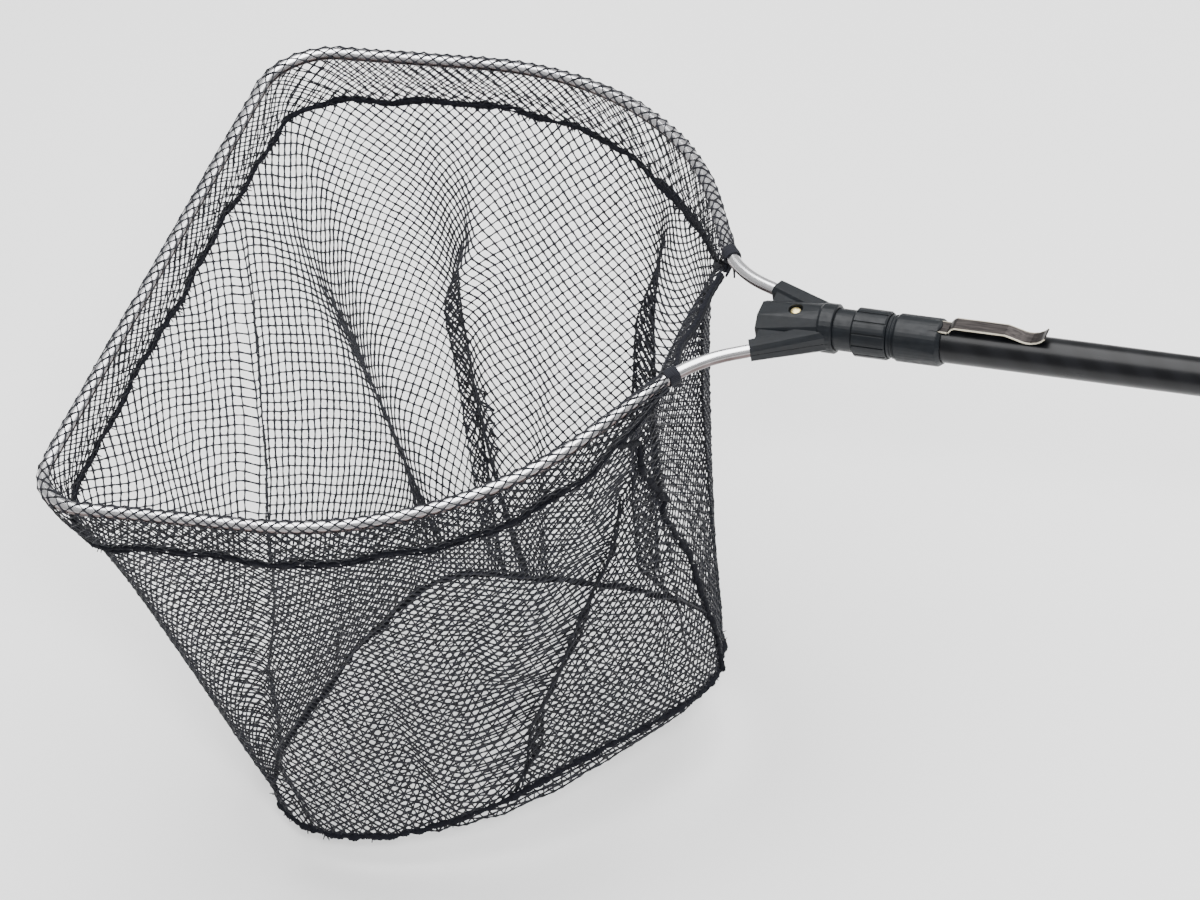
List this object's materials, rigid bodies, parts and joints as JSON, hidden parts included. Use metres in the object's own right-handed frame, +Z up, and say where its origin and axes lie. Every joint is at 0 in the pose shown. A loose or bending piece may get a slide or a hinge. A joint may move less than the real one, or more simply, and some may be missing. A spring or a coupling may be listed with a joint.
{
  "type": "landing net",
  "caption": "Hand net with a D-shaped tubular hoop, deep mesh bag, moulded yoke with a screw collar, spring belt clip and telescopic pole with grip.",
  "frame": {"origin": "on the pole's axis, at the middle of the hand grip", "axes": "+X along the pole towards the butt cap, so the hoop is towards -X; +Z up out of the net's mouth; +Y to the side"},
  "size_m": [1.3295, 0.4804, 0.3972],
  "materials": {
    "black_plastic": "satin moulded",
    "aluminium": "bright drawn",
    "brass": "polished dome",
    "plated_steel": "zinc plated",
    "spring_steel": "browned, worn bright at the edges",
    "nylon": "natural",
    "pole_black": "glossy lacquer over glass fibre",
    "inner_pole": "satin ground glass fibre",
    "foam": "closed-cell foam",
    "cap_rubber": "matt",
    "netting": "black knotless twine",
    "cord": "black braided"
  },
  "bodies": {
    "handle": {"inner_tube": "inner_pole", "guide_bush": "black_plastic", "hand_grip": "foam", "butt_cap": "cap_rubber"},
    "pole": {"outer_tube": "pole_black", "lock_sleeve": "black_plastic", "pole_ferrule": "black_plastic", "belt_clip_foot": "spring_steel", "head_stem": "plated_steel", "thrust_washer": "nylon", "yoke_upper_shell": "black_plastic", "yoke_lower_shell": "black_plastic", "yoke_rivet": "brass", "hoop_tube": "aluminium", "net_wall_front": "netting", "net_wall_far": "netting", "net_wall_far_rear": "netting", "net_wall_near": "netting", "net_wall_near_rear": "netting", "net_wall_back": "netting", "net_base": "netting", "rim_seam": "cord", "base_seam": "cord", "side_seam": "cord", "seam_patch": "cord", "mouth_tape": "cord", "binding_far": "cord", "binding_near": "cord"},
    "lock_nut": {"lock_nut": "black_plastic"},
    "collar": {"coupling_collar": "black_plastic"},
    "belt_clip": {"belt_clip_spring": "spring_steel"}
  },
  "joints": [
    {"name": "pole_slide", "type": "slide", "parent": "handle", "child": "pole", "axis": [-1, 0, 0], "range_m": [0, 0.42]},
    {"name": "lock_turn", "type": "hinge", "parent": "pole", "child": "lock_nut", "pos_m": [-0.133, 0, 0], "axis": [1, 0, 0], "range_deg": [0, 90]},
    {"name": "collar_turn", "type": "hinge", "parent": "pole", "child": "collar", "pos_m": [-0.7095, 0, 0], "axis": [1, 0, 0], "continuous": true},
    {"name": "clip_flex", "type": "hinge", "parent": "pole", "child": "belt_clip", "pos_m": [-0.6494, 0, 0.01325], "axis": [0, -1, 0], "range_deg": [0, 10], "stiffness_Nm_per_rad": 4.5}
  ]
}
